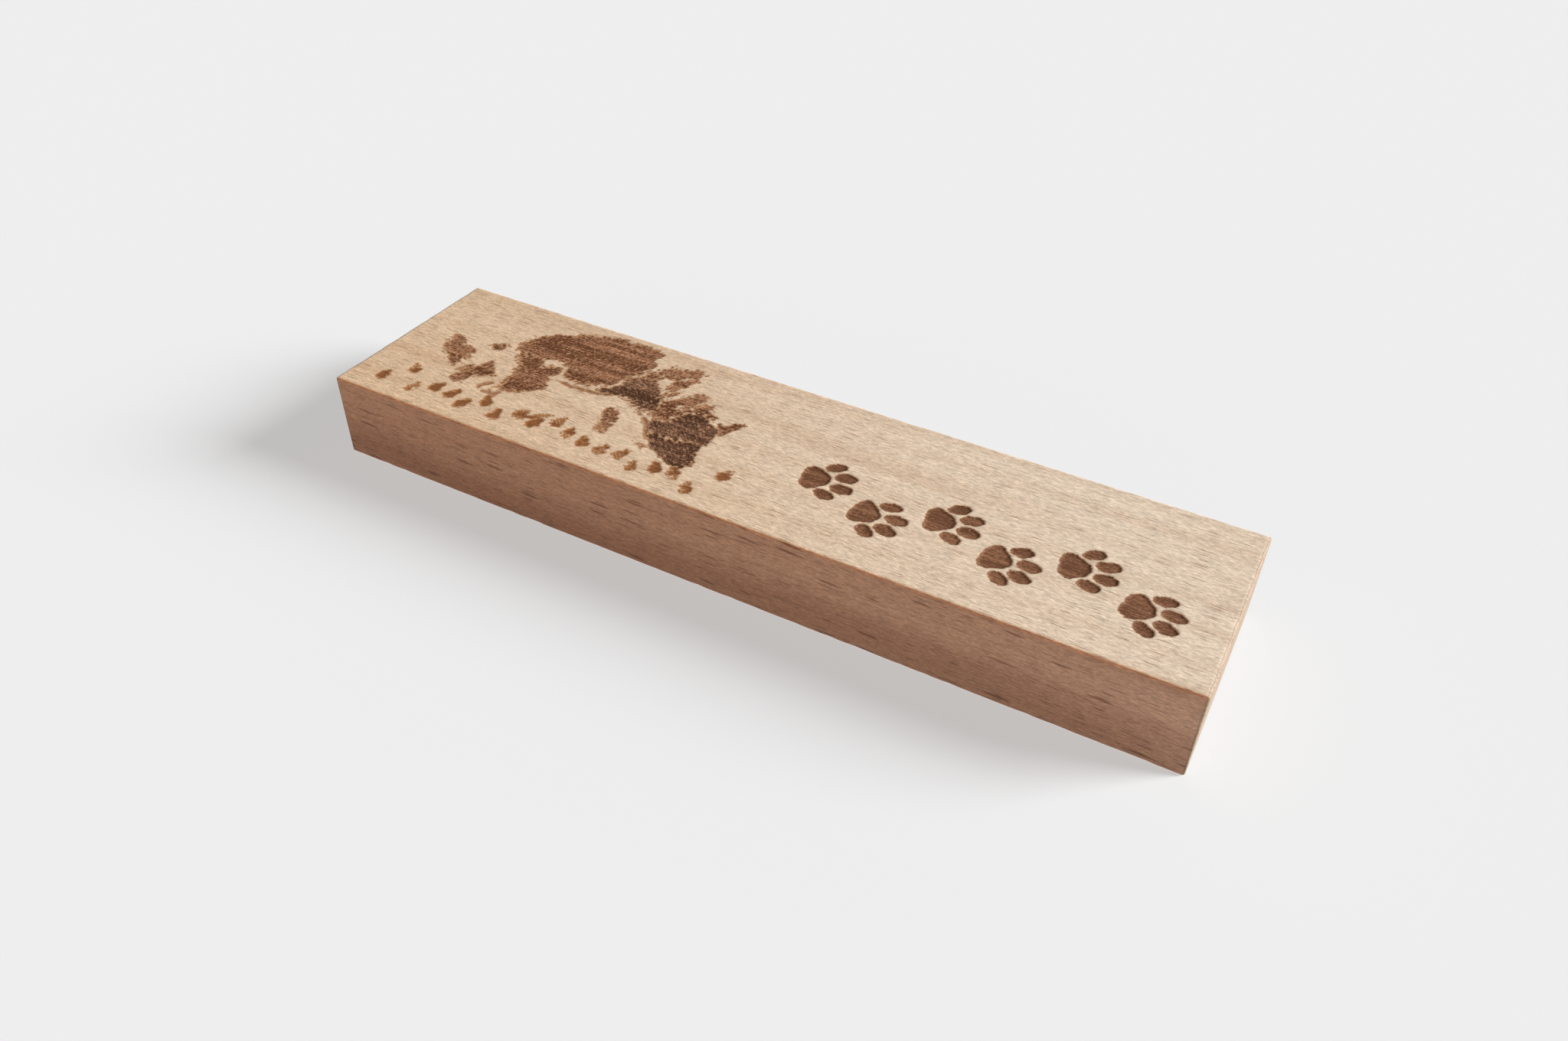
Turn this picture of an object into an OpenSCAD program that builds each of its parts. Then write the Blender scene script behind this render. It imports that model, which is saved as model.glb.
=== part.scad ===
// Laser-engraved beech plaque: one solid block with burnt marks in its top face.
// Millimetres, +Z up, origin at the middle of the underside, +X along the grain.

/* [Block] */
// Length of the block along the grain
block_length = 100; // [99:1:130]
// Depth of the block, front edge to back edge
block_depth = 25; // [25:0.5:32]
// Thickness of the block
block_thickness = 10.3; // [6:0.1:20]
// Radius of the sanded edges and corners
edge_radius = 0.3; // [0.2:0.1:1]

/* [Engraving] */
// How deep the dog is burnt into the top face
picture_depth = 0.2; // [0.2:0.05:0.6]
// How deep the leaf dabs are burnt
leaf_depth = 0.2; // [0.2:0.05:0.6]
// How deep the paw prints are burnt
print_depth = 0.25; // [0.2:0.05:0.8]
// Thickness of the charred layer on the floor of every mark
char_thickness = 0.12; // [0.06:0.02:0.16]

/* [Picture] */
// Distance from the left end of the block to the tip of the dog's tail
picture_inset = 5.5; // [4:0.5:7]
// Number of leaf dabs on the ground under the dog
leaf_count = 20; // [4:1:20]
// Length of a leaf dab
leaf_length = 2; // [1.4:0.1:2]
// Width of the thin lines that finish the dog's legs and chest
line_width = 0.4; // [0.3:0.05:0.45]

/* [Paw prints] */
// Distance from the left end of the block to the middle of the first print
trail_start = 57.4; // [57:0.1:58.4]
// Distance along the trail from one print to the next
stride = 7; // [6.8:0.1:7]
// How far the prints step to either side of the trail's centre line
straddle = 1.5; // [0:0.1:1.8]
// Height of the trail's centre line above the front edge
trail_height = 9.4; // [8:0.1:12]
// Width of one print across its toes
print_width = 6.2; // [4.5:0.1:6.4]

/* [Hidden] */
print_count = 6;
cut_clearance = 0.5;      // how far a cutter stands above the top face
curve_steps = 5;          // straight pieces between two points of a smooth outline
line_steps = 14;          // straight pieces along a thin line
leaf_steps = 2;           // straight pieces between two points of a leaf
oval_steps = 20;          // corners of a toe
pad_steps = 36;           // corners of a pad
toe_out = 10;             // degrees that a print turns away from the trail
ground_height = 3.2;      // middle of the leaf dabs above the front edge, at the ends of the row
mound_height = 0.7;       // how much higher the row stands under the dog's belly
mound_middle = 18;        // where it is highest, from the tip of the tail
leaf_pitch = 2.3;         // distance between one leaf dab and the next

DOG_PARTS = ["dog_tail", "dog_back", "dog_haunch", "dog_hind_leg", "dog_neck",
             "dog_shoulder", "dog_foreleg", "dog_face", "dog_muzzle", "dog_near_ear",
             "dog_far_ear", "dog_outline"];
PRINTS = [for (i = [1 : print_count]) str("paw_print_", i)];

// Point between b and c on a smooth curve that also looks at the points before and after them
function on_curve(a, b, c, d, t) =
    0.5 * (2 * b + (c - a) * t + (2 * a - 5 * b + 4 * c - d) * t * t
           + (3 * b - a - 3 * c + d) * t * t * t);

// Closed smooth outline through a short list of points
function smooth(p, steps = curve_steps) = let (n = len(p))
    [for (i = [0 : n - 1], s = [0 : steps - 1])
        on_curve(p[(i + n - 1) % n], p[i], p[(i + 1) % n], p[(i + 2) % n], s / steps)];

// Thin line from a to c that bends towards b, and is finest at its ends
function bend(a, b, c, t) = (1 - t) * (1 - t) * a + 2 * t * (1 - t) * b + t * t * c;
function across(a, b, c, t) = let (d = (1 - t) * (b - a) + t * (c - b)) [-d[1], d[0]] / norm(d);
function line_side(a, b, c, side) =
    [for (i = [0 : line_steps])
        let (t = i / line_steps, half = line_width / 2 * sqrt(sin(12 + 156 * t)))
        bend(a, b, c, t) + side * half * across(a, b, c, t)];
function reversed(p) = [for (i = [len(p) - 1 : -1 : 0]) p[i]];
function line_outline(a, b, c) = concat(line_side(a, b, c, 1), reversed(line_side(a, b, c, -1)));

// Oval outline, rx along X and ry along Y
function oval(rx, ry) =
    [for (i = [0 : oval_steps - 1]) let (a = 360 * i / oval_steps) [rx * cos(a), ry * sin(a)]];

// Three-lobed heel pad outline that points along +X
function pad_outline(r) =
    [for (i = [0 : pad_steps - 1])
        let (a = 360 * i / pad_steps, reach = r * (1 + 0.13 * cos(3 * a)))
        [0.82 * reach * cos(a), reach * sin(a)]];

// A value from -1 to 1 that changes without pattern as i counts up
function wander(i, k) = sin(i * k + 40 * sin(i * 57));

// ---- the picture, in millimetres from the tip of the tail and the front edge ----

module tail_outline() {
    polygon(smooth([[0, 14], [1.2, 14.4], [2.4, 13.2], [4.2, 12.6], [4.5, 10.8],
                    [4, 9.4], [2.4, 10], [0.9, 11.4]]));
    translate([6.4, 14.9]) rotate(35) polygon(oval(0.85, 0.5));
}

module back_outline()
    polygon(smooth([[8.1, 16.6], [9.4, 19.2], [12.4, 21.5], [16.2, 23.1], [20.2, 23.6], [24, 23.2],
                    [23.7, 21.8], [24.6, 20.4], [23.7, 18.6], [23, 16.8], [22.6, 15.2], [21, 13.9],
                    [18.4, 13], [16.6, 13.9], [15.8, 15.3], [14.2, 16], [12.8, 15.5], [11.2, 15.7],
                    [9.4, 15.3]]));

module haunch_outline()
    polygon(smooth([[9.6, 14.8], [11.3, 15.2], [12.5, 14.9], [13.2, 13.5], [14.3, 14.2], [15.3, 14.4],
                    [15.8, 13.4], [15.1, 12.3], [16.1, 10.7], [15.3, 9], [13.4, 7.8], [11.8, 7.6],
                    [11.6, 9.4], [11.4, 11.4], [10.6, 13]]));

module hind_leg_outline()
    polygon(smooth([[7.6, 12], [8.6, 10.8], [10.2, 9.4], [8.8, 9.1], [7.7, 8.2], [7.3, 6.7],
                    [5.9, 6.5], [5.4, 8.4], [5.9, 9.8], [7, 10.4]]));

module neck_outline()
    polygon(smooth([[23.9, 17.6], [25, 19.4], [26.8, 21.1], [29, 21.9], [30.6, 21.8], [30.5, 20.2],
                    [29.9, 18.2], [29.6, 15.8], [28.9, 15.9], [28.7, 17.6], [28.1, 19.2],
                    [26.8, 19.4], [26.2, 18.2], [25.2, 17.7]]));

module shoulder_outline()
    polygon(smooth([[23.4, 16.2], [24.4, 17.2], [26.2, 17.5], [27.6, 16.6], [28.4, 15.4], [29.1, 14.4],
                    [29.2, 12.4], [27.8, 12.4], [26, 13.3], [24.2, 13.4], [22.4, 12.9], [22, 13.4],
                    [23.6, 14.4]]));

module foreleg_outline()
    polygon(smooth([[24.9, 10.4], [26.5, 10.2], [27, 8.4], [27.3, 6.5], [25.9, 6.3],
                    [25.5, 8.2]]));

module face_outline()
    polygon(smooth([[34.4, 14.4], [35.6, 13.9], [36.8, 13.4], [37.6, 12.4], [37.9, 11], [37.6, 9.9],
                    [36, 9.8], [34.4, 9.3], [32.6, 9.1], [31.3, 9.5], [30.5, 10.8], [32, 11.3],
                    [32.8, 12.8], [33.5, 13.9]]));

module muzzle_outline()
    polygon(smooth([[31.7, 8.7], [33.2, 8.6], [34.8, 8.8], [36.2, 9.3], [37.5, 9.4], [37.7, 7.8],
                    [38.4, 6.4], [37.9, 5.4], [36.4, 5.3], [34.4, 6.2], [32.6, 7.4]]));

module near_ear_outline()
    polygon(smooth([[29.5, 13.2], [30.3, 15.3], [31.6, 16.9], [33, 18], [34.4, 16.8], [35.6, 15.5],
                    [36.2, 14.4], [35.3, 14.5], [34.3, 14.9], [33.1, 14.4], [32.3, 13],
                    [31.5, 11.8], [30.3, 11.5], [29.7, 12.2]]));

module far_ear_outline()
    polygon(smooth([[37, 14], [38, 14.1], [38.8, 15], [39.7, 15.1], [39.3, 13.9], [38.7, 12.7],
                    [38.2, 12.2], [38, 13.1]]));

module dog_lines() {
    polygon(line_outline([16.6, 12.3], [20, 11.6], [23.8, 12.9]));    // belly
    polygon(line_outline([28.4, 11.6], [30.6, 10.2], [32, 7.4]));     // chest and near foreleg
    polygon(line_outline([31.2, 6.5], [32.5, 6.2], [33, 6.7]));       // near front paw
    polygon(line_outline([11, 8.3], [9.6, 7.8], [9.8, 6.5]));           // near hind leg
    polygon(line_outline([10.4, 6.3], [12, 6.1], [12.6, 7]));       // near hind paw
}

// A round dab with a short stalk, standing on its round end
module leaf_outline() {
    r = leaf_length / 2.5;
    polygon(smooth(r * [[0, -1], [0.7, -0.65], [0.85, 0.15], [0.45, 0.85], [0.3, 1.5],
                        [-0.3, 1.5], [-0.45, 0.85], [-0.85, 0.15], [-0.7, -0.65]], leaf_steps));
}

// Height of the ground that the leaf dabs lie on, x from the tip of the tail
function ground(x) = ground_height + mound_height * cos(4.5 * (x - mound_middle));

// Every ninth dab lies well above the others, and a twig lies across the middle
module litter_outline() {
    for (i = [0 : leaf_count - 1])
        let (x = leaf_pitch * i - 1.2)
            translate([x, ground(x) + 0.8 * wander(i, 137) + (i % 9 == 1 ? 2.4 : 0)])
                rotate(28 * wander(i, 71))
                    leaf_outline();
    translate([18.8, 5]) rotate(36) polygon(oval(2.2, 0.36));
}

module print_outline() {
    unit = print_width / 6;
    translate([-1.1 * unit, 0]) polygon(pad_outline(1.75 * unit));
    for (side = [-1, 1]) {
        translate([2 * unit, 0.95 * side * unit]) rotate(6 * side) polygon(oval(1.15 * unit, 0.72 * unit));
        translate([0.55 * unit, 2.3 * side * unit]) rotate(24 * side) polygon(oval(1.1 * unit, 0.68 * unit));
    }
}

// ---- placing and cutting ----

module on_picture() translate([picture_inset, 0]) children();

module on_print(i) {
    side = i % 2 == 0 ? 1 : -1;
    translate([trail_start + stride * i, trail_height + straddle * side])
        rotate(toe_out * side)
            children();
}

module dog_part_outline(name)
    on_picture() {
        if (name == "dog_tail") tail_outline();
        if (name == "dog_back") back_outline();
        if (name == "dog_haunch") haunch_outline();
        if (name == "dog_hind_leg") hind_leg_outline();
        if (name == "dog_neck") neck_outline();
        if (name == "dog_shoulder") shoulder_outline();
        if (name == "dog_foreleg") foreleg_outline();
        if (name == "dog_face") face_outline();
        if (name == "dog_muzzle") muzzle_outline();
        if (name == "dog_near_ear") near_ear_outline();
        if (name == "dog_far_ear") far_ear_outline();
        if (name == "dog_outline") dog_lines();
    }

// Solid of the given height on the floor of a mark that is cut to the given depth
module on_floor(depth, height)
    translate([-block_length / 2, -block_depth / 2, block_thickness - depth])
        linear_extrude(height)
            children();

module pocket(depth) on_floor(depth, depth + cut_clearance) children();

module charred(depth) on_floor(depth, char_thickness) children();

// Rectangle with round corners, centred
module rounded_rectangle(x, y, r) {
    square([x - 2 * r, y], center = true);
    square([x, y - 2 * r], center = true);
    for (side_x = [-1, 1], side_y = [-1, 1])
        translate([side_x * (x / 2 - r), side_y * (y / 2 - r)])
            circle(r, $fn = 32);
}

// Block with every edge rounded, standing on z = 0
module eased_block(x, y, z, r)
    translate([0, 0, z / 2])
        intersection() {
            linear_extrude(z, center = true) rounded_rectangle(x, y, r);
            rotate([90, 0, 0]) linear_extrude(y, center = true) rounded_rectangle(x, z, r);
            rotate([90, 0, 90]) linear_extrude(x, center = true) rounded_rectangle(y, z, r);
        }

// ---- sub-parts ----

module beech_block()
    color("burlywood")
        difference() {
            eased_block(block_length, block_depth, block_thickness, edge_radius);
            for (name = DOG_PARTS)
                pocket(picture_depth) dog_part_outline(name);
            pocket(leaf_depth) on_picture() litter_outline();
            for (i = [0 : print_count - 1])
                pocket(print_depth) on_print(i) print_outline();
        }

module dog_part(name)
    color("#6b4632")
        charred(picture_depth) dog_part_outline(name);

module leaf_litter()
    color("#8a5433")
        charred(leaf_depth) on_picture() litter_outline();

module paw_print(i)
    color("#5c3a28")
        charred(print_depth) on_print(i) print_outline();

beech_block();
for (name = DOG_PARTS)
    dog_part(name);
leaf_litter();
for (i = [0 : print_count - 1])
    paw_print(i);
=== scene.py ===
import math

import bpy
import numpy as np
from mathutils import Matrix, Vector


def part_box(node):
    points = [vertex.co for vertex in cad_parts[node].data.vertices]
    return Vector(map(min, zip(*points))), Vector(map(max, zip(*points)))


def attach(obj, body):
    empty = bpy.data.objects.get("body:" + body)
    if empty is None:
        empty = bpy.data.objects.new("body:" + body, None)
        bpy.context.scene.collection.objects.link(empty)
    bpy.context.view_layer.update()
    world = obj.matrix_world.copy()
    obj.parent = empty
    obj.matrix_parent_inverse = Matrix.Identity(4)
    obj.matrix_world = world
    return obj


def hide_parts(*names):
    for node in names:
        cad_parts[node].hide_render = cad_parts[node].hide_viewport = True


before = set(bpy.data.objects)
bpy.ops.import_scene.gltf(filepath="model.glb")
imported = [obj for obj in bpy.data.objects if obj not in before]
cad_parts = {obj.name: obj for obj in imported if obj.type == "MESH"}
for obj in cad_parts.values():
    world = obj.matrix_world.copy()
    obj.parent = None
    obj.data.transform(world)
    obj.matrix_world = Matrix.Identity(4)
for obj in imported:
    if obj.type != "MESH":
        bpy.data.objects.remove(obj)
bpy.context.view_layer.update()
mm = 0.001     # lengths in the dictionaries are in mm unless a note says otherwise

block = {
    "cell": 0.2,          # between points on the top face; the char has twice as many
    "easing": 0.3,        # radius of the sanded edges
    "easingSteps": 4,     # facets round an eased edge
    "sideRows": 12,       # rows of faces down each side
    "wear": 0.035,        # how far a worn arris drops back at most
    "wearSize": 1.3,      # length of the worn places
    "wearFade": 1.6,      # how far up or down a side the wear fades out
    "wearAt": 0.12,       # distance from the face where it is strongest
    "sanding": 0.006,     # unevenness left by sanding
    "sandingSize": (2.4, 0.45),
    "underChar": 0.04,    # how far the wood stays below the char
    "smoothUpTo": 50,     # degrees between two faces that still shade as one
    "seed": 7,
}

low, high = (np.array(corner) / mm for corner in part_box("beech_block"))
topHeight = high[2]
gridLow = low[:2] + block["easing"]
cells = np.round(((high - low)[:2] - 2 * block["easing"]) / block["cell"]).astype(int)
fineCell = block["cell"] / 2
fineCells = cells * 2


def blendNoise(x, y, sizeX, sizeY, seed):
    # smooth noise from 0 to 1 with lumps of sizeX by sizeY
    points, away = 256, 500     # lattice points each way, and lattice steps that keep x and y above zero
    u, v = x / sizeX + away, y / sizeY + away
    lattice = np.random.default_rng(seed).random((points, points))
    iu, iv = np.floor(u).astype(int), np.floor(v).astype(int)
    fu, fv = u - iu, v - iv
    fu, fv = fu * fu * (3 - 2 * fu), fv * fv * (3 - 2 * fv)
    iu, iv, nextU, nextV = iu % points, iv % points, (iu + 1) % points, (iv + 1) % points
    before = lattice[iu, iv] * (1 - fu) + lattice[nextU, iv] * fu
    after = lattice[iu, nextV] * (1 - fu) + lattice[nextU, nextV] * fu
    return before * (1 - fv) + after * fv


def softStep(lowEdge, highEdge, value):
    # 0 at the low edge, 1 at the high edge, and a smooth rise between them
    t = np.clip((value - lowEdge) / (highEdge - lowEdge), 0, 1)
    return t * t * (3 - 2 * t)


def markOutline(nodeName):
    # border edges of a mark's flat top
    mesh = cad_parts[nodeName].data
    mesh.calc_loop_triangles()
    places = np.array([v.co for v in mesh.vertices]) / mm
    triangles = np.array([t.vertices for t in mesh.loop_triangles])
    flatWithin = 0.01
    onTop = places[:, 2] > places[:, 2].max() - flatWithin
    triangles = triangles[onTop[triangles].all(1)]
    points, same = np.unique(np.round(places[:, :2], 4), axis=0, return_inverse=True)
    triangles = same.reshape(-1)[triangles]
    edges = np.concatenate([triangles[:, [0, 1]], triangles[:, [1, 2]], triangles[:, [2, 0]]])
    edges, uses = np.unique(np.sort(edges, axis=1), axis=0, return_counts=True)
    return points[edges[uses == 1]]


def insideDistance(x, y, outline):
    # distance to the outline, positive inside it
    nearest = np.full(x.shape, np.inf)
    inside = np.zeros(x.shape, bool)
    for (x1, y1), (x2, y2) in outline:
        dx, dy = x2 - x1, y2 - y1
        t = np.clip(((x - x1) * dx + (y - y1) * dy) / (dx * dx + dy * dy), 0, 1)
        nearest = np.minimum(nearest, (x - x1 - t * dx) ** 2 + (y - y1 - t * dy) ** 2)
        if y1 != y2:
            inside ^= ((y1 > y) != (y2 > y)) & (x < x1 + (y - y1) * dx / dy)
    return np.where(inside, 1, -1) * np.sqrt(nearest)


def closeCorners(burnt):
    # fills one cell wherever two burnt cells touch only at a corner, so that the char closes up
    while True:
        a, b, c, d = burnt[:-1, :-1], burnt[1:, :-1], burnt[:-1, 1:], burnt[1:, 1:]
        falling = a & d & ~b & ~c
        rising = b & c & ~a & ~d
        if not (falling.any() or rising.any()):
            return burnt
        burnt[1:, :-1] |= falling
        burnt[:-1, :-1] |= rising


furMark = {
    "swell": 0.0,         # how far the burn creeps out past the outline
    "fringe": 0.5,        # how far the stippled edge reaches to either side of the outline
    "hairLength": 0.8,
    "hairWidth": 0.14,
    "hairAngle": 60,      # degrees from the grain
    "stray": 0.05,        # share of stray dots beyond the fringe
    "strayReach": 1.1,    # how far out they go
    "thin": 0.0,          # share of bare dots well inside the mark
    "patchy": 0.0,        # how unevenly those are spread
    "hatch": 0.0,         # between hatch lines, 0 for none
}
printMark = {**furMark, "fringe": 0.13, "hairLength": 0.5, "hairAngle": 0, "stray": 0.0}
leafMark = {**furMark, "fringe": 0.32, "thin": 0.05, "patchy": 0.3, "hairAngle": 20,
            "stray": 0.0, "hatch": 0.36}
marks = {
    "dog_back": {**furMark, "swell": 0.04, "fringe": 0.55, "thin": 0.05, "patchy": 0.16, "hairAngle": 62},
    "dog_haunch": {**furMark, "swell": 0.08, "fringe": 0.7, "thin": 0.08, "patchy": 0.22, "hairAngle": 72},
    "dog_hind_leg": {**furMark, "thin": 0.25, "patchy": 0.2, "hairAngle": 66},
    "dog_tail": {**furMark, "fringe": 0.8, "thin": 0.24, "patchy": 0.3, "hairAngle": -38},
    "dog_neck": {**furMark, "swell": 0.14, "fringe": 0.7, "thin": 0.34, "patchy": 0.3, "hairAngle": 64},
    "dog_shoulder": {**furMark, "swell": 0.12, "fringe": 0.75, "thin": 0.06, "patchy": 0.14,
                     "hairAngle": 52},
    "dog_foreleg": {**furMark, "fringe": 0.45, "thin": 0.24, "patchy": 0.25, "hairAngle": 12},
    "dog_face": {**furMark, "swell": 0.14, "fringe": 0.5, "thin": 0.05, "patchy": 0.14, "hairAngle": -50},
    "dog_muzzle": {**furMark, "swell": 0.14, "fringe": 0.4, "thin": 0.03, "patchy": 0.08, "hairAngle": -35},
    "dog_near_ear": {**furMark, "swell": 0.14, "fringe": 0.7, "thin": 0.28, "patchy": 0.3, "hairAngle": 50},
    "dog_far_ear": {**furMark, "fringe": 0.3, "thin": 0.12, "patchy": 0.2, "hairAngle": 50},
    "dog_outline": {**furMark, "fringe": 0.26, "thin": 0.12, "patchy": 0.4, "hairAngle": -45},
    "leaf_litter": leafMark,
}
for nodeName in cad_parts:
    if nodeName.startswith("paw_print"):
        marks[nodeName] = printMark

laser = {
    "fluffSize": (0.22, 0.14),    # soft clumps of dots
    "hairShare": 0.45,            # how much the hairs settle which dots burn first, against the clumps
    "patchSize": (1.7, 1.1),      # thin patches inside a mark
    "straySize": (0.9, 0.7),      # groups of stray dots
    "strayFrom": 0.45,            # noise from 0 to 1, with stray dots above this
    "hatchSize": (3.0, 3.0),      # areas with hatch lines
    "hatchFrom": 0.55,            # noise from 0 to 1, with hatch lines above this
    "hatchAcross": (0.72, 0.69),  # direction across the lines
    "hatchLine": 0.68,            # share of the way from line to line that is burnt
    "leastShare": 0.005,          # no dots burn where fewer than this share would
    "heatSpread": 1,              # fine cells that the heat spreads
    "wallSpread": 2,              # and that the walls of a mark lean over
    "scorchSpread": 5,            # and that the toasted rim reaches
    "wallHeat": (0.15, 0.85),     # heat at the top and at the foot of a wall
    "burntHeat": (0.7, 1.0),      # heat where the wood starts to blacken and where it is black
    "fullHeat": 0.99,             # heat on the floor of a mark
    "firstSeed": 100,
    "seedStep": 10,
}


def burnMark(nodeName, setup, seed):
    # which fine cells the laser has burnt in and round one mark
    outline = markOutline(nodeName)
    reach = max(setup["fringe"], setup["strayReach"]) + 3 * fineCell
    first = np.floor((outline.min((0, 1)) - reach - gridLow) / fineCell).astype(int)
    last = np.ceil((outline.max((0, 1)) + reach - gridLow) / fineCell).astype(int)
    first, last = np.maximum(first, 0), np.minimum(last, fineCells)
    x, y = np.meshgrid(
        gridLow[0] + (np.arange(first[0], last[0]) + 0.5) * fineCell,
        gridLow[1] + (np.arange(first[1], last[1]) + 0.5) * fineCell, indexing="ij")
    distance = insideDistance(x, y, outline)
    turn = math.radians(setup["hairAngle"])
    along, across = x * math.cos(turn) + y * math.sin(turn), y * math.cos(turn) - x * math.sin(turn)
    hair = blendNoise(along, across, setup["hairLength"], setup["hairWidth"], seed)
    fluff = blendNoise(x, y, *laser["fluffSize"], seed + 1)
    patches = blendNoise(x, y, *laser["patchSize"], seed + 2) - 0.5
    # the share of burnt dots rises through the fringe, and each dot has its own rank in that share
    share = softStep(-setup["fringe"], setup["fringe"], distance + setup["swell"])
    share = share * (1 - setup["thin"] + 2 * setup["patchy"] * patches)
    stray = setup["stray"] * softStep(-setup["strayReach"], 0, distance)
    strayHere = blendNoise(x, y, *laser["straySize"], seed + 3) > laser["strayFrom"]
    share = np.maximum(share, stray * strayHere)
    order = hair * laser["hairShare"] + fluff * (1 - laser["hairShare"])
    rank = order.argsort(axis=None).argsort().reshape(x.shape) / x.size
    burnt = share > rank + laser["leastShare"]
    if setup["hatch"]:
        hatched = blendNoise(x, y, *laser["hatchSize"], seed + 4) > laser["hatchFrom"]
        acrossX, acrossY = laser["hatchAcross"]
        line = np.mod((acrossX * x + acrossY * y) / setup["hatch"], 1)
        burnt &= ~(hatched & (line > laser["hatchLine"]))
    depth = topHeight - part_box(nodeName)[1].z / mm
    return {"name": nodeName, "first": first, "burnt": closeCorners(burnt), "depth": depth}


burns = [burnMark(name, setup, laser["firstSeed"] + laser["seedStep"] * index)
         for index, (name, setup) in enumerate(marks.items())]
print("marks burnt:", len(burns), "with", sum(int(burn["burnt"].sum()) for burn in burns), "dots")


def spread(values, times):
    # each value becomes a mean of itself and its neighbours, the given number of times
    for _ in range(times):
        padded = np.pad(values, 1, mode="edge")
        values = (padded[1:-1, 1:-1] * 2 + padded[:-2, 1:-1] + padded[2:, 1:-1]
                  + padded[1:-1, :-2] + padded[1:-1, 2:]) / 6
    return values


# the marks laid out on one fine grid; where two of them meet, a cell stays with the first
fineDepth = np.zeros(fineCells)
burntAll = np.zeros(fineCells, bool)
for burn in burns:
    i, j = burn["first"]
    countX, countY = burn["burnt"].shape
    taken = burntAll[i:i + countX, j:j + countY]
    burn["burnt"] &= ~taken
    burn["burnt"] = closeCorners(burn["burnt"]) & ~taken
    taken |= burn["burnt"]
    fineDepth[i:i + countX, j:j + countY][burn["burnt"]] = burn["depth"]


def toCorners(cellValues):
    # mean of the four cells round each corner of the fine grid
    padded = np.pad(cellValues.astype(float), 1)
    return (padded[:-1, :-1] + padded[1:, :-1] + padded[:-1, 1:] + padded[1:, 1:]) / 4


# relief of the top face, from all marks together
heat = toCorners(spread(burntAll.astype(float), laser["heatSpread"]))
dug = toCorners(spread(fineDepth, laser["wallSpread"]))
scorch = toCorners(spread(burntAll.astype(float), laser["scorchSpread"]))
coarse = (slice(None, None, 2), slice(None, None, 2))
gridX, gridY = np.meshgrid(
    gridLow[0] + np.arange(cells[0] + 1) * block["cell"],
    gridLow[1] + np.arange(cells[1] + 1) * block["cell"], indexing="ij")
sanding = block["sanding"] * (blendNoise(gridX, gridY, *block["sandingSize"], block["seed"]) - 1)
relief = sanding - dug[coarse] * softStep(*laser["wallHeat"], heat[coarse])


def refine(values):
    # heights at the fine grid's corners, on the very triangles of the coarse grid
    fine = np.zeros(fineCells + 1)
    fine[::2, ::2] = values
    fine[1::2, ::2] = (values[:-1] + values[1:]) / 2
    fine[::2, 1::2] = (values[:, :-1] + values[:, 1:]) / 2
    fine[1::2, 1::2] = (values[:-1, :-1] + values[1:, 1:]) / 2
    return fine


fineRelief = refine(relief)
print("relief laid out:", relief.shape, "points, deepest", round(float(relief.min()), 3), "mm")


def makePiece(name, vertices, faces, smoothUpTo=None):
    mesh = bpy.data.meshes.new(name)
    mesh.from_pydata(vertices, [], faces)
    mesh.validate()
    mesh.update()
    if smoothUpTo is not None:
        mesh.shade_smooth()
        mesh.set_sharp_from_angle(angle=math.radians(smoothUpTo))
    piece = bpy.data.objects.new(name, mesh)
    bpy.context.scene.collection.objects.link(piece)
    return piece


def pointValues(piece, name, values):
    layer = piece.data.attributes.new(name, "FLOAT", "POINT")
    layer.data.foreach_set("value", np.asarray(values, np.float32))


def blockColumns():
    # every line down the sides in order round the block, as (corner of the top grid, outward angle)
    nx, ny = cells
    rim = ([(i, 0, -90) for i in range(nx + 1)], [(nx, j, 0) for j in range(ny + 1)],
           [(i, ny, 90) for i in range(nx, -1, -1)], [(0, j, 180) for j in range(ny, -1, -1)])
    steps = block["easingSteps"]
    columns = []
    for side in rim:
        i, j, angle = side[-1]
        columns += side + [(i, j, angle + 90 * k / steps) for k in range(1, steps)]
    return np.array(columns)


def blockProfile():
    # (distance outward, height) down one side, between the top face and the underside
    radius, steps, rows = block["easing"], block["easingSteps"], block["sideRows"]
    turns = [math.radians(90 * k / steps) for k in range(1, steps + 1)]
    straight = topHeight - 2 * radius
    upper = [(radius * math.sin(t), topHeight - radius + radius * math.cos(t)) for t in turns]
    middle = [(radius, topHeight - radius - straight * k / rows) for k in range(1, rows)]
    lower = [(radius * math.cos(t), radius - radius * math.sin(t)) for t in [0.0] + turns[:-2]]
    return upper + middle + lower


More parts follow.
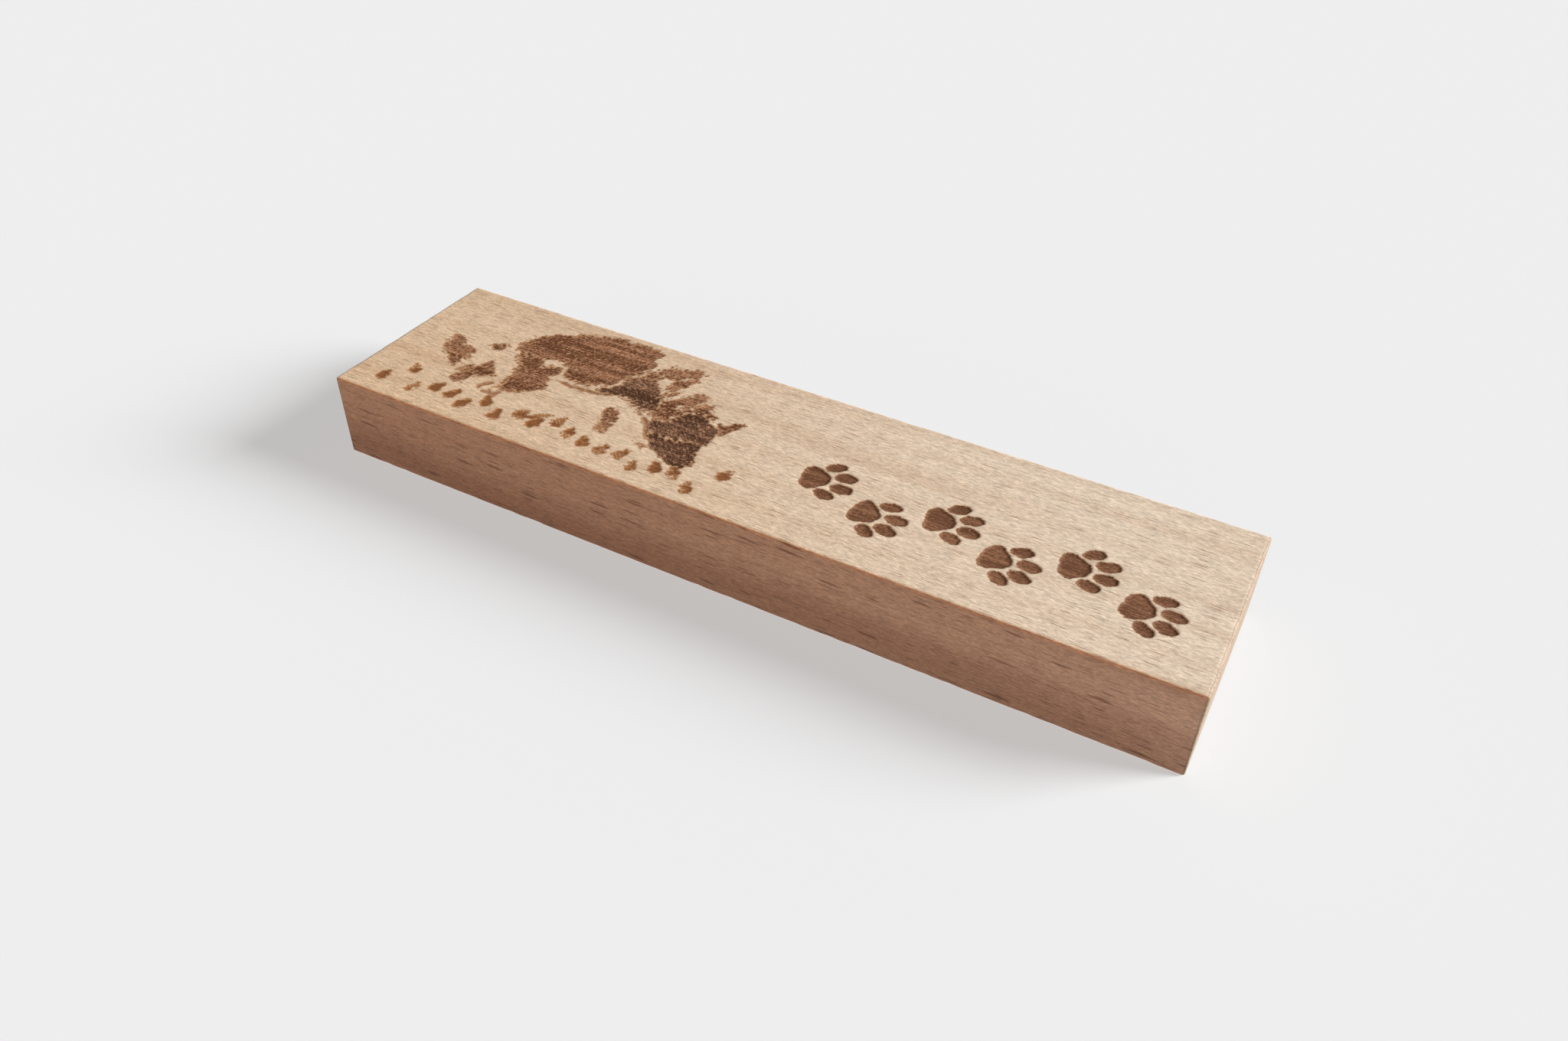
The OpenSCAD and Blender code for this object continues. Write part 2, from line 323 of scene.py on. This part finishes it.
def makeBlock():
    nx, ny = cells
    underChar = np.where(heat[coarse] > laser["fullHeat"], block["underChar"], 0.0)
    top = np.stack([gridX, gridY, topHeight + relief - underChar], -1).reshape(-1, 3)
    index = np.arange((nx + 1) * (ny + 1)).reshape(nx + 1, ny + 1)
    a, b, c, d = index[:-1, :-1], index[1:, :-1], index[1:, 1:], index[:-1, 1:]
    faces = np.concatenate([np.stack([a, b, c], -1).reshape(-1, 3),
                            np.stack([a, c, d], -1).reshape(-1, 3)]).tolist()

    # rings of points down the sides, worn back on the eased edges
    columns = blockColumns()
    corner = index[columns[:, 0].astype(int), columns[:, 1].astype(int)]
    angle = np.radians(columns[:, 2])
    outward = np.stack([np.cos(angle), np.sin(angle)], -1)
    rim = top[corner][:, :2]
    roundAbout = np.cumsum(np.linalg.norm(np.diff(rim, axis=0, prepend=rim[:1]), axis=1))
    places, arris, rings = [top], [np.zeros(len(top))], [corner.tolist()]
    count = len(top)
    for out, height in blockProfile():
        onArris = out < block["easing"] - 1e-6
        inTopHalf = height > topHeight / 2
        # upper and lower edges take their wear from rows of noise far apart, and few places wear much
        wearRow = np.full(len(corner), 20.0 if inTopHalf else 0.0)
        worn = blendNoise(roundAbout, wearRow, block["wearSize"], 1, block["seed"] + 1) ** 3
        fromFace = topHeight - height if inTopHalf else height
        near = softStep(block["wearFade"], 0.0, abs(fromFace - block["wearAt"]))
        back = block["wear"] * worn * onArris * near
        ring = np.empty((len(corner), 3))
        ring[:, :2] = rim + outward * (out - back)[:, None]
        ring[:, 2] = height + (-back if inTopHalf else back)
        places.append(ring)
        arris.append(np.full(len(corner), math.sin(math.pi / 2 * out / block["easing"]) * onArris))
        rings.append(list(range(count, count + len(corner))))
        count += len(corner)

    # the underside has one point below each point of the top's rim, and one flat face closes it
    _, firstAt = np.unique(corner, return_index=True)
    rimOrder = np.sort(firstAt)
    under = top[corner[rimOrder]].copy()
    under[:, 2] = 0.0
    underOf = {int(corner[k]): count + n for n, k in enumerate(rimOrder)}
    places.append(under)
    arris.append(np.zeros(len(under)))
    rings.append([underOf[int(k)] for k in corner])

    around = len(corner)
    for upperRing, lowerRing in zip(rings[:-1], rings[1:]):
        for k in range(around):
            n = (k + 1) % around
            face = [upperRing[k], lowerRing[k], lowerRing[n], upperRing[n]]
            if face[0] == face[3]:
                face = face[:3]
            elif face[1] == face[2]:
                face = [face[0], face[1], face[3]]
            faces.append(face)
    faces.append([underOf[int(corner[k])] for k in rimOrder][::-1])

    points = np.concatenate(places)
    piece = makePiece("beechBlock", points * mm, faces, smoothUpTo=block["smoothUpTo"])
    scorched, burntWall = np.zeros(len(points)), np.zeros(len(points))
    scorched[:len(top)] = scorch[coarse].reshape(-1)
    burntWall[:len(top)] = softStep(*laser["burntHeat"], heat[coarse]).reshape(-1)
    pointValues(piece, "scorch", scorched)
    pointValues(piece, "burnt", burntWall)
    pointValues(piece, "arris", np.concatenate(arris))
    return piece


beechBlock = makeBlock()
print("block built:", len(beechBlock.data.polygons), "faces")


# the char is a thin closed skin on the floor and walls of each mark
char = {
    "lift": 0.012,               # how far it stands above the wood under it
    "skin": 0.06,                # thickness
    "ridge": 0.014,              # height of the ridges that the laser's passes leave
    "ridgeLeast": 0.4,           # share of that height that the lowest ridges keep
    "ridgeSize": (1.2, 0.6),     # lumps along and across the ridges
    "gritSize": (0.35, 0.12),
    "strength": (0.4, 0.95),     # heat where the char is faint and where it is full
    "smoothUpTo": 60,            # degrees between two faces that still shade as one
    "seed": 31,
}


def makeChar(burn, pieceName):
    i0, j0 = burn["first"]
    ci, cj = np.nonzero(burn["burnt"])
    wide = fineCells[1] + 1
    corners = [(ci + i0 + di) * wide + cj + j0 + dj for di, dj in ((0, 0), (1, 0), (1, 1), (0, 1))]
    used, where = np.unique(np.concatenate(corners), return_inverse=True)
    where = where.reshape(4, -1)
    a, b, c, d = where
    gi, gj = used // wide, used % wide
    x, y = gridLow[0] + gi * fineCell, gridLow[1] + gj * fineCell
    lumps = blendNoise(x, y, *char["ridgeSize"], char["seed"])
    ridges = char["ridge"] * (gj % 2) * (char["ridgeLeast"] + (1 - char["ridgeLeast"]) * lumps)
    grit = char["ridge"] * blendNoise(x, y, *char["gritSize"], char["seed"] + 1)
    rough = (ridges + grit) * (heat[gi, gj] > laser["fullHeat"])
    upper = np.stack([x, y, topHeight + fineRelief[gi, gj] + char["lift"] + rough], -1)
    lower = upper - [0, 0, char["skin"]]
    n = len(used)
    tops = np.concatenate([np.stack([a, b, c], -1), np.stack([a, c, d], -1)])
    # a wall wherever the next cell is bare: the step to that cell, then the two corners it shares
    burnt = np.pad(burn["burnt"], 1)
    walls = []
    for di, dj, p, q in ((0, -1, 0, 1), (1, 0, 1, 2), (0, 1, 2, 3), (-1, 0, 3, 0)):
        bare = ~burnt[ci + 1 + di, cj + 1 + dj]
        p, q = where[p][bare], where[q][bare]
        walls += [np.stack([p, p + n, q + n], -1), np.stack([p, q + n, q], -1)]
    faces = np.concatenate([tops, tops[:, ::-1] + n, *walls])
    points = np.concatenate([upper, lower])
    piece = makePiece(pieceName, points * mm, faces.tolist(), smoothUpTo=char["smoothUpTo"])
    strength = softStep(*char["strength"], heat[gi, gj])
    pointValues(piece, "strength", np.concatenate([strength, strength]))
    return piece


charPieces = {}
for burn in burns:
    pieceName = "char" + "".join(word.capitalize() for word in burn["name"].split("_"))
    charPieces[burn["name"]] = makeChar(burn, pieceName)
charFaces = sum(len(piece.data.polygons) for piece in charPieces.values())
print("char laid:", charFaces, "faces in", len(charPieces), "pieces")


def newFinish(name, roughness, specular):
    finish = bpy.data.materials.new(name)
    finish.use_nodes = True
    shader = finish.node_tree.nodes["Principled BSDF"]
    shader.inputs["Roughness"].default_value = roughness
    shader.inputs["Specular IOR Level"].default_value = specular
    return finish, finish.node_tree, shader


def addNode(tree, kind, settings=None, **inputs):
    made = tree.nodes.new("ShaderNode" + kind)
    for name, value in (settings or {}).items():
        setattr(made, name, value)
    for name, value in inputs.items():
        socket = made.inputs[name.replace("_", " ")]
        if isinstance(value, bpy.types.NodeSocket):
            tree.links.new(value, socket)
        else:
            socket.default_value = value
    return made


def maths(tree, operation, a, b=None, clamp=False):
    made = addNode(tree, "Math", {"operation": operation, "use_clamp": clamp})
    for socket, value in zip(made.inputs, (a, b)):
        if isinstance(value, bpy.types.NodeSocket):
            tree.links.new(value, socket)
        elif value is not None:
            socket.default_value = value
    return made.outputs[0]


def ramp(tree, value, fromLow, fromHigh, toLow=0.0, toHigh=1.0):
    # a smooth rise or fall from toLow to toHigh
    made = addNode(tree, "MapRange", {"interpolation_type": "SMOOTHSTEP"})
    tree.links.new(value, made.inputs["Value"])
    numbers = {"From Min": fromLow, "From Max": fromHigh, "To Min": toLow, "To Max": toHigh}
    for name, number in numbers.items():
        made.inputs[name].default_value = number
    return made.outputs["Result"]


def tint(tree, factor, a, b, blend="MIX"):
    # colour a turned into b, or multiplied by b, by the factor
    made = addNode(tree, "Mix", {"data_type": "RGBA", "blend_type": blend})
    for socket, value in ((made.inputs[0], factor), (made.inputs[6], a), (made.inputs[7], b)):
        if isinstance(value, bpy.types.NodeSocket):
            tree.links.new(value, socket)
        elif isinstance(value, (int, float)):
            socket.default_value = value
        else:
            socket.default_value = (*value, 1.0)
    return made.outputs[2]


def stretched(tree, sizes, turn=(0, 0, 0), shift=(0, 0, 0)):
    # the piece's own coordinates, turned, then divided so that one unit is the given size in mm
    place = addNode(tree, "TexCoord").outputs["Object"]
    turned = addNode(tree, "Mapping", {"vector_type": "POINT"}, Vector=place,
                     Rotation=[math.radians(t) for t in turn])
    scaled = addNode(tree, "Mapping", {"vector_type": "POINT"}, Vector=turned.outputs["Vector"],
                     Scale=[1 / (s * mm) for s in sizes], Location=shift)
    return scaled.outputs["Vector"]


def grainNoise(tree, sizes, detail=2.0, roughness=0.5, turn=(0, 0, 0), shift=(0, 0, 0)):
    made = addNode(tree, "TexNoise", Vector=stretched(tree, sizes, turn, shift), Scale=1.0,
                   Detail=detail, Roughness=roughness)
    return made.outputs["Fac"]


def sway(tree, noise, amount):
    # a factor that swings round 1 with the noise, mostly by no more than the amount
    made = addNode(tree, "Math", {"operation": "MULTIPLY_ADD"})
    tree.links.new(noise, made.inputs[0])
    made.inputs[1].default_value = amount * 5
    made.inputs[2].default_value = 1 - amount * 2.5
    return made.outputs[0]


def brighten(tree, colour, factor):
    made = addNode(tree, "VectorMath", {"operation": "SCALE"})
    tree.links.new(colour, made.inputs[0])
    tree.links.new(factor, made.inputs["Scale"])
    return made.outputs["Vector"]


def dashes(tree, sizes, length, share, turn=(0, 0, 0), shift=(0, 0, 0)):
    # lens-shaped dashes, at most one in each stretched cell; share is how many of the cells have one
    cellsAt = addNode(tree, "TexVoronoi", {"feature": "F1", "voronoi_dimensions": "2D"},
                      Vector=stretched(tree, sizes, turn, shift), Scale=1.0, Randomness=1.0)
    chance = addNode(tree, "SeparateColor", Color=cellsAt.outputs["Color"])
    strong = ramp(tree, chance.outputs["Red"], 1 - share, 1 - share * 0.35)
    reach = maths(tree, "MULTIPLY", maths(tree, "ADD", chance.outputs["Green"], 0.5), length)
    shape = maths(tree, "DIVIDE", cellsAt.outputs["Distance"], reach)
    return maths(tree, "MULTIPLY", ramp(tree, shape, 1.0, 0.3), strong)


beech = {
    "face": (0.520, 0.378, 0.247),      # top and underside
    "edge": (0.375, 0.207, 0.115),      # long edges, where the wood is cut across its rays, darkened further as painted shade
    "end": (0.236, 0.150, 0.084),       # end grain, darkened further as painted shade against the strong light on the ends
    "pale": (1.12, 1.29, 1.55),         # painted light and sheen towards the far right corner; each of these multiplies the colour below it
    "lateWood": (0.88, 0.82, 0.77),
    # painted shade, darker low down on the long edges
    "low": (0.75, 0.70, 0.66),
    "pore": (0.54, 0.43, 0.35),
    "fleck": (0.50, 0.40, 0.34),
    "faintFleck": (0.80, 0.74, 0.70),
    "arris": (1.45, 1.20, 1.00),        # painted highlight on the eased edges, warm in colour
    "scorch": (0.62, 0.48, 0.38),       # toasted rim round the marks
    "burnt": (0.12, 0.052, 0.028),      # walls of the marks, painted over the rest
    "paleReach": (-70, 62),             # X + Y where the painted light and sheen start and where they are full
    "lowReach": (7.2, 1.5),             # heights between which painted shade darkens the long edges towards the underside
    "ringSize": 4.3,                    # from ring to ring
    "ringSlope": 0.9,                   # how much the rings lean over
    "ringSway": 5.0,                    # how far they wander sideways
    "ringStrength": 0.4,
    "fibreSway": 0.15,                  # how much fibres, fluff and flakes lighten and darken the wood, partly grain and partly painted glints
    "fluffSway": 0.26,
    "flakeSway": 0.10,
    "poreStrength": 0.8,
    "streakStrength": 0.7,
    "roughness": 0.5,
    "gloss": 0.35,
    "bump": 0.05,
}
# patterns of the beech; sizes are along the grain, across it and up, before the turn in degrees
beechNoise = {
    "ringWander": {"sizes": (90, 30, 30), "detail": 1.0, "shift": (3, 1, 5)},
    "stripes": {"sizes": (60, 3.2, 3.2), "shift": (7, 2, 1)},
    "fibres": {"sizes": (2.4, 0.24, 0.24), "detail": 4.0, "roughness": 0.75},
    "fluff": {"sizes": (0.62, 0.11, 0.11), "roughness": 0.6, "turn": (0, 0, -3), "shift": (4, 4, 4)},
    "flakes": {"sizes": (0.55, 0.22, 0.22), "detail": 3.0, "roughness": 0.6, "turn": (0, 0, 26)},
    "streaks": {"sizes": (16, 0.5, 0.5), "roughness": 0.6, "turn": (0, 1.5, 0), "shift": (1, 9, 4)},
}
beechDashes = {
    "pores": {"sizes": (3.0, 0.2, 1), "length": 0.34, "share": 0.3, "turn": (0, 0, 1.5)},
    "flecks": {"sizes": (4.6, 0.46, 1), "length": 0.34, "share": 0.24, "turn": (-90, 0, 2.5)},
    "faintFlecks": {"sizes": (2.4, 0.22, 1), "length": 0.4, "share": 0.6,
                    "turn": (-90, 0, 2), "shift": (0.4, 0.2, 0)},
    "endPores": {"sizes": (0.34, 0.34, 1), "length": 0.3, "share": 0.6, "turn": (0, 90, 0)},
}


def beechFinish():
    finish, tree, shader = newFinish("bareBeech", beech["roughness"], beech["gloss"])

    def noise(name):
        return grainNoise(tree, **beechNoise[name])

    def times(a, b):
        return maths(tree, "MULTIPLY", a, b)

    def shade(colour, where, name):
        return tint(tree, where, colour, beech[name], "MULTIPLY")

    def attribute(name):
        return addNode(tree, "Attribute", {"attribute_name": name}).outputs["Fac"]

    # which way the wood faces: 1 on the long edges, on the ends, or on the top and underside
    normal = addNode(tree, "SeparateXYZ", Vector=addNode(tree, "TexCoord").outputs["Normal"])
    onEdge = ramp(tree, maths(tree, "ABSOLUTE", normal.outputs["Y"]), 0.45, 0.85)
    onEnd = ramp(tree, maths(tree, "ABSOLUTE", normal.outputs["X"]), 0.05, 0.4)
    onFace = maths(tree, "SUBTRACT", maths(tree, "SUBTRACT", 1.0, onEdge), onEnd, clamp=True)
    place = addNode(tree, "SeparateXYZ", Vector=stretched(tree, (1, 1, 1)))
    # long edges and ends: their own darker wood, plus painted shade
    colour = tint(tree, onEdge, beech["face"], beech["edge"])
    colour = tint(tree, onEnd, colour, beech["end"])

    # painted light and sheen: lighter and less yellow towards the far right corner, nearer the light
    towardsLight = maths(tree, "ADD", place.outputs["X"], place.outputs["Y"])
    colour = shade(colour, ramp(tree, towardsLight, *beech["paleReach"]), "pale")

    # growth rings cross the block at a slant and wander a little along it
    wander = times(noise("ringWander"), beech["ringSway"])
    slant = maths(tree, "ADD", times(place.outputs["Z"], beech["ringSlope"]), place.outputs["Y"])
    depth = maths(tree, "DIVIDE", maths(tree, "ADD", slant, wander), beech["ringSize"])
    ring = maths(tree, "FRACT", depth)
    lateWood = times(ramp(tree, ring, 0.3, 0.85), ramp(tree, ring, 1.0, 0.8))
    colour = shade(colour, times(lateWood, beech["ringStrength"]), "lateWood")
    colour = shade(colour, ramp(tree, noise("stripes"), 0.45, 0.8), "lateWood")
    # painted shade: the long edges darker towards the underside
    paintedShadeLowDown = times(ramp(tree, place.outputs["Z"], *beech["lowReach"]), onEdge)
    colour = shade(colour, paintedShadeLowDown, "low")

    # fibres, fine fluff and flakes of the grain, whose light specks are partly painted glints
    fibres, flakes = noise("fibres"), noise("flakes")
    fine = times(sway(tree, fibres, beech["fibreSway"]), sway(tree, noise("fluff"), beech["fluffSway"]))
    colour = brighten(tree, colour, times(fine, sway(tree, flakes, beech["flakeSway"])))

    # pores, as short dark dashes along the grain
    pores = times(dashes(tree, **beechDashes["pores"]), onFace)
    colour = shade(colour, times(pores, beech["poreStrength"]), "pore")

    # long streaks and ray flecks on the long edges
    streaks = times(ramp(tree, noise("streaks"), 0.5, 0.72), onEdge)
    colour = shade(colour, times(streaks, beech["streakStrength"]), "faintFleck")
    faintFlecks = times(dashes(tree, **beechDashes["faintFlecks"]), onEdge)
    flecks = times(dashes(tree, **beechDashes["flecks"]), onEdge)
    colour = shade(colour, faintFlecks, "faintFleck")
    colour = shade(colour, flecks, "fleck")

    # open pores on the end grain
    endPores = times(dashes(tree, **beechDashes["endPores"]), onEnd)
    colour = shade(colour, endPores, "fleck")

    # painted highlight on the eased edges, weaker on the ends, then what the laser has done to the wood
    # round the marks
    arrisHighlight = times(attribute("arris"), maths(tree, "SUBTRACT", 0.8, onEnd, clamp=True))
    colour = shade(colour, arrisHighlight, "arris")
    colour = shade(colour, ramp(tree, attribute("scorch"), 0.0, 0.45), "scorch")
    colour = tint(tree, attribute("burnt"), colour, beech["burnt"])
    tree.links.new(colour, shader.inputs["Base Color"])

    # fibres and flakes stand up, pores and flecks sink in
    height = maths(tree, "ADD", fibres, times(flakes, 0.5))
    height = maths(tree, "SUBTRACT", height, times(pores, 0.5))
    height = maths(tree, "SUBTRACT", height, times(flecks, 0.3))
    bump = addNode(tree, "Bump", Strength=0.5, Distance=beech["bump"] * mm, Height=height)
    tree.links.new(bump.outputs["Normal"], shader.inputs["Normal"])
    return finish


# colours of the char from its darkest to its palest, and where it is only faint
charTones = {
    "face": {"dark": (0.052, 0.021, 0.009), "light": (0.290, 0.155, 0.095), "edge": (0.26, 0.13, 0.06)},
    "fur": {"dark": (0.084, 0.030, 0.011), "light": (0.420, 0.215, 0.120), "edge": (0.30, 0.15, 0.07)},
    "line": {"dark": (0.200, 0.100, 0.050), "light": (0.340, 0.180, 0.095), "edge": (0.36, 0.20, 0.10)},
    "leaf": {"dark": (0.155, 0.060, 0.020), "light": (0.300, 0.125, 0.048), "edge": (0.34, 0.16, 0.065)},
    "print": {"dark": (0.105, 0.045, 0.022), "light": (0.260, 0.125, 0.068), "edge": (0.14, 0.055, 0.022)},
}
# patterns of the char, with sizes as for the beech
charNoise = {
    "bands": {"sizes": (30, 1.6, 1.6)},
    "passes": {"sizes": (5.0, 0.22, 0.22), "detail": 3.0, "roughness": 0.65},
    "hairs": {"sizes": (1.1, 0.16, 0.16), "detail": 3.0, "roughness": 0.6},
    "speckle": {"sizes": (0.3, 0.2, 0.2), "roughness": 0.6, "shift": (2, 7, 3)},
}
# for each pattern, the noise that counts as dark and as light, and what those add to the tone
charAdds = {
    "bands": (0.35, 0.65, -0.2, 0.3),
    "passes": (0.4, 0.7, -0.1, 0.4),
    "hairs": (0.5, 0.72, -0.12, 0.7),
    "speckle": (0.35, 0.7, -0.15, 0.5),
}
charSurface = {"roughness": 0.65, "gloss": 0.12, "bump": 0.05, "edgeShare": 0.75}


def charFinish(name, tones, hairAngle):
    finish, tree, shader = newFinish(name, charSurface["roughness"], charSurface["gloss"])
    strength = addNode(tree, "Attribute", {"attribute_name": "strength"}).outputs["Fac"]
    bands = grainNoise(tree, **charNoise["bands"])
    passes = grainNoise(tree, **charNoise["passes"])
    hairs = grainNoise(tree, **charNoise["hairs"], turn=(0, 0, -hairAngle))
    speckle = grainNoise(tree, **charNoise["speckle"])
    tone = ramp(tree, bands, *charAdds["bands"])
    tone = maths(tree, "ADD", tone, ramp(tree, passes, *charAdds["passes"]))
    tone = maths(tree, "ADD", tone, ramp(tree, hairs, *charAdds["hairs"]))
    tone = maths(tree, "ADD", tone, ramp(tree, speckle, *charAdds["speckle"]), clamp=True)
    colour = tint(tree, tone, tones["dark"], tones["light"])
    faint = ramp(tree, strength, 0.9, 0.2, 0.0, charSurface["edgeShare"])
    colour = tint(tree, faint, colour, tones["edge"])
    tree.links.new(colour, shader.inputs["Base Color"])
    height = maths(tree, "ADD", passes, hairs)
    bump = addNode(tree, "Bump", Strength=0.5, Distance=charSurface["bump"] * mm, Height=height)
    tree.links.new(bump.outputs["Normal"], shader.inputs["Normal"])
    return finish


bareBeech = beechFinish()
furChar = charFinish("furChar", charTones["fur"], hairAngle=60)
faceChar = charFinish("faceChar", charTones["face"], hairAngle=-45)
lineChar = charFinish("lineChar", charTones["line"], hairAngle=-45)
leafScorch = charFinish("leafScorch", charTones["leaf"], hairAngle=44)
printChar = charFinish("printChar", charTones["print"], hairAngle=0)
print("finishes mixed")


def place(piece, finish, nodeName, slotName):
    piece.data.materials.append(finish)
    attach(piece, "root")
    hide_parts(nodeName)


place(beechBlock, bareBeech, "beech_block", "bare_beech")
for nodeName, piece in charPieces.items():
    if nodeName == "leaf_litter":
        place(piece, leafScorch, nodeName, "scorched_leaves")
    elif nodeName == "dog_outline":
        place(piece, lineChar, nodeName, "charred_lines")
    elif nodeName in ("dog_face", "dog_muzzle", "dog_shoulder"):
        place(piece, faceChar, nodeName, "charred_picture")
    elif nodeName.startswith("dog"):
        place(piece, furChar, nodeName, "charred_picture")
    else:
        place(piece, printChar, nodeName, "charred_prints")
print("pieces placed")


studio = {
    "floorSize": 6.0,                   # metres
    "floorLift": 0.00002,               # metres, keeps the underside clean when seen from below
    "floorColour": (0.288, 0.298, 0.306),
    "floorGlow": 0.48,                  # lifts the floor so that the shadow stays pale
    "horizon": 0.86,                    # brightness of the sky low down, like the floor's
    "zenith": 0.02,                     # and overhead
    "horizonFrom": 0.16,                # height where it starts to darken, 1 is straight up
    "horizonTop": 0.4,                  # height where it has darkened
    "keyTurn": 29,                      # degrees from +X towards +Y that the light comes from
    "keyRise": 25,                      # degrees above the floor
    "keySpread": 27,                    # degrees across, for a soft shadow
    "keyStrength": 8.3,
    "bounceTurn": -75,                  # warm light thrown back from the front
    "bounceRise": 12,
    "bounceSpread": 80,
    "bounceStrength": 1.2,
    "bounceColour": (1.0, 0.55, 0.32),
}


def sunLamp(name, turn, rise, spreadAngle, strength, colour=(1, 1, 1)):
    lamp = bpy.data.lights.new(name, "SUN")
    lamp.energy = strength
    lamp.angle = math.radians(spreadAngle)
    lamp.color = colour
    light = bpy.data.objects.new(name, lamp)
    turn, rise = math.radians(turn), math.radians(rise)
    towards = Vector((math.cos(turn) * math.cos(rise), math.sin(turn) * math.cos(rise), math.sin(rise)))
    light.rotation_euler = towards.to_track_quat("Z", "Y").to_euler()
    bpy.context.scene.collection.objects.link(light)


def makeFloor():
    half, lift = studio["floorSize"] / 2, studio["floorLift"]
    corners = [(-half, -half, lift), (half, -half, lift), (half, half, lift), (-half, half, lift)]
    floor = makePiece("paleFloor", corners, [(0, 1, 2, 3)])
    finish, _, shader = newFinish("paleFloor", roughness=0.9, specular=0.0)
    shader.inputs["Base Color"].default_value = (*studio["floorColour"], 1)
    shader.inputs["Emission Color"].default_value = (1, 1, 1, 1)
    shader.inputs["Emission Strength"].default_value = studio["floorGlow"]
    floor.data.materials.append(finish)


def makeSky():
    sky = bpy.data.worlds.new("studioSky")
    bpy.context.scene.world = sky
    sky.use_nodes = True
    tree = sky.node_tree
    direction = addNode(tree, "SeparateXYZ", Vector=addNode(tree, "TexCoord").outputs["Generated"])
    brightness = ramp(tree, direction.outputs["Z"], studio["horizonFrom"], studio["horizonTop"],
                      studio["horizon"], studio["zenith"])
    background = tree.nodes["Background"]
    background.inputs["Color"].default_value = (1, 1, 1, 1)
    tree.links.new(brightness, background.inputs["Strength"])


viewpoint = {
    "azimuth": 27.96,     # degrees round from the front
    "elevation": 38.89,   # degrees above the floor
    "roll": 1.37,         # degrees
    "distance": 139.0,    # from the middle of the underside
    "aside": 1.70,        # to the right of the line to the middle
    "above": 0.61,        # above that line
    "lens": 28.55,
    "sensor": 36,         # width
    "nearClip": 5.0,      # nothing nearer than this is drawn
}


def placeCamera():
    azimuth, elevation, roll = (math.radians(viewpoint[k]) for k in ("azimuth", "elevation", "roll"))
    back = Vector((math.sin(azimuth) * math.cos(elevation),
                   -math.cos(azimuth) * math.cos(elevation),
                   math.sin(elevation)))
    level = (-back).cross(Vector((0, 0, 1))).normalized()
    upright = level.cross(-back)
    right = level * math.cos(roll) + upright * math.sin(roll)
    up = upright * math.cos(roll) - level * math.sin(roll)
    spot = (back * viewpoint["distance"] + right * viewpoint["aside"] + up * viewpoint["above"]) * mm
    optics = bpy.data.cameras.new("deskCamera")
    optics.lens = viewpoint["lens"]
    optics.sensor_width = viewpoint["sensor"]
    optics.clip_start = viewpoint["nearClip"] * mm
    camera = bpy.data.objects.new("deskCamera", optics)
    camera.matrix_world = Matrix.Translation(spot) @ Matrix((right, up, back)).transposed().to_4x4()
    bpy.context.scene.collection.objects.link(camera)
    bpy.context.scene.camera = camera


makeFloor()
makeSky()
sunLamp("windowLight", studio["keyTurn"], studio["keyRise"], studio["keySpread"], studio["keyStrength"])
sunLamp("warmBounce", studio["bounceTurn"], studio["bounceRise"], studio["bounceSpread"],
        studio["bounceStrength"], studio["bounceColour"])
placeCamera()
bpy.context.scene.view_settings.view_transform = "Standard"
print("studio ready")
